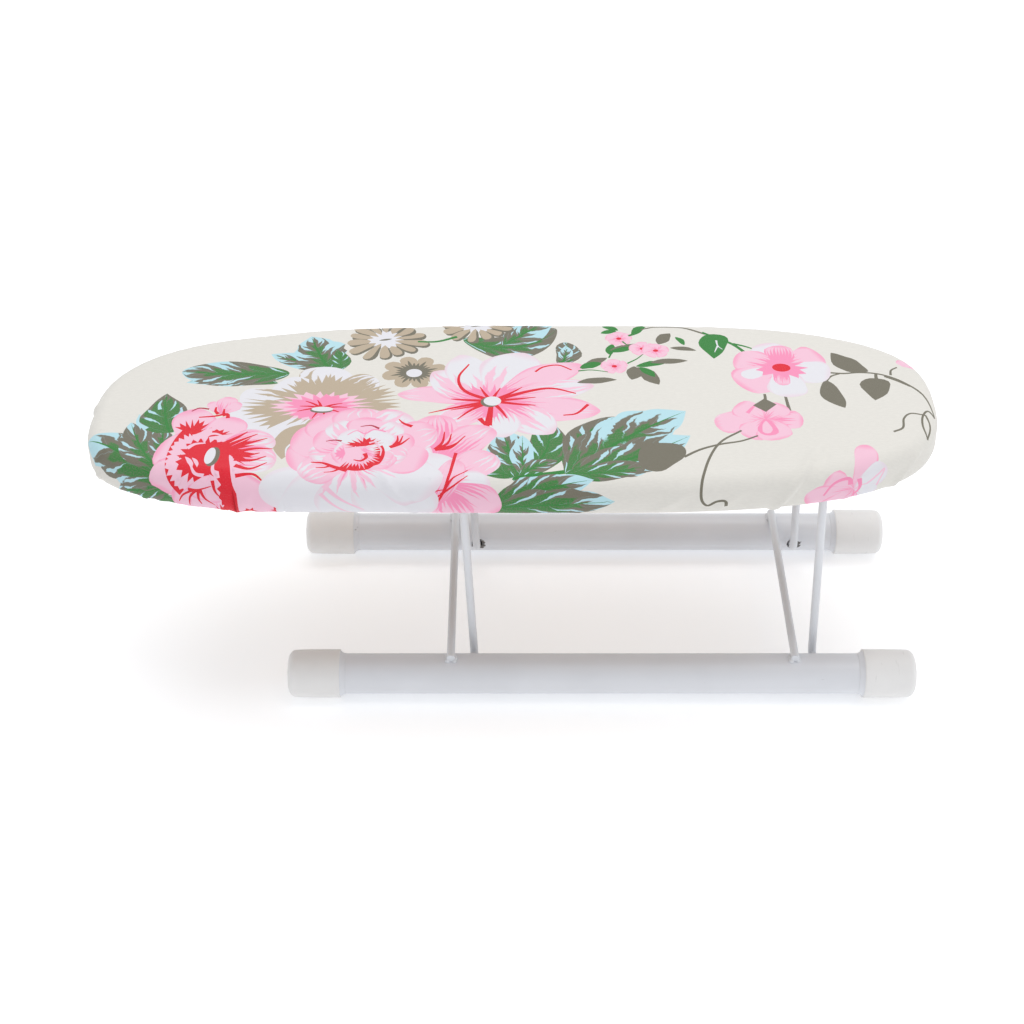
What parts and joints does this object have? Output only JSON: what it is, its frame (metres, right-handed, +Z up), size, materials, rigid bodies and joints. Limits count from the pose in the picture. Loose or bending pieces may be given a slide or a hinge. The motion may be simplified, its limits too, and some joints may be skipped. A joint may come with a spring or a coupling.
{
  "type": "ironing board",
  "caption": "Tabletop sleeve ironing board: a padded board with a floral fabric cover on folding wire legs, over foot tubes with plastic end caps.",
  "frame": {"origin": "middle of the whole object's box, on the surface it stands on", "axes": "+X along the board towards its narrower rounded end, +Y from the front foot to the rear foot, +Z up"},
  "size_m": [0.5, 0.167, 0.176],
  "materials": {
    "printed_cotton": "plain weave cotton, cream with a printed floral pattern",
    "pad_foam": "soft white foam with a felted face",
    "panel_wood": "raw fibreboard",
    "elastic_cord": "braided white elastic",
    "tube_paint": "white powder coat, satin",
    "wire_paint": "white powder coat, satin",
    "cap_plastic": "moulded white polyethylene",
    "zinc_steel": "zinc plated strip",
    "screw_steel": "zinc plated"
  },
  "bodies": {
    "base": {"front_foot_tube": "tube_paint", "rear_foot_tube": "tube_paint", "front_left_cap": "cap_plastic", "front_right_cap": "cap_plastic", "rear_left_cap": "cap_plastic", "rear_right_cap": "cap_plastic", "left_cross_wire": "wire_paint", "right_cross_wire": "wire_paint"},
    "left_leg": {"left_leg_wire": "wire_paint"},
    "right_leg": {"right_leg_wire": "wire_paint"},
    "board": {"board_panel": "panel_wood", "foam_pad": "pad_foam", "fabric_cover": "printed_cotton", "cover_elastic": "elastic_cord", "left_front_saddle": "zinc_steel", "left_rear_saddle": "zinc_steel", "right_front_saddle": "zinc_steel", "right_rear_saddle": "zinc_steel", "saddle_screws": "screw_steel", "left_front_stop": "zinc_steel", "left_rear_stop": "zinc_steel", "right_front_stop": "zinc_steel", "right_rear_stop": "zinc_steel", "stop_screws": "screw_steel"}
  },
  "joints": [
    {"name": "leg_fold", "type": "hinge", "parent": "base", "child": "left_leg", "pos_m": [-0.0255, 0, 0.015], "axis": [0, 1, 0], "range_deg": [0, 83]},
    {"name": "right_leg_fold", "type": "hinge", "parent": "base", "child": "right_leg", "pos_m": [0.1855, 0, 0.015], "axis": [0, 1, 0], "range_deg": [0, 83]},
    {"name": "board_level", "type": "hinge", "parent": "left_leg", "child": "board", "pos_m": [-0.03153, 0, 0.15317], "axis": [0, 1, 0], "range_deg": [-83, 0]}
  ],
  "couplings": [
    {"joint": "right_leg_fold", "follows": "leg_fold", "ratio": 1},
    {"joint": "board_level", "follows": "leg_fold", "ratio": -1}
  ]
}
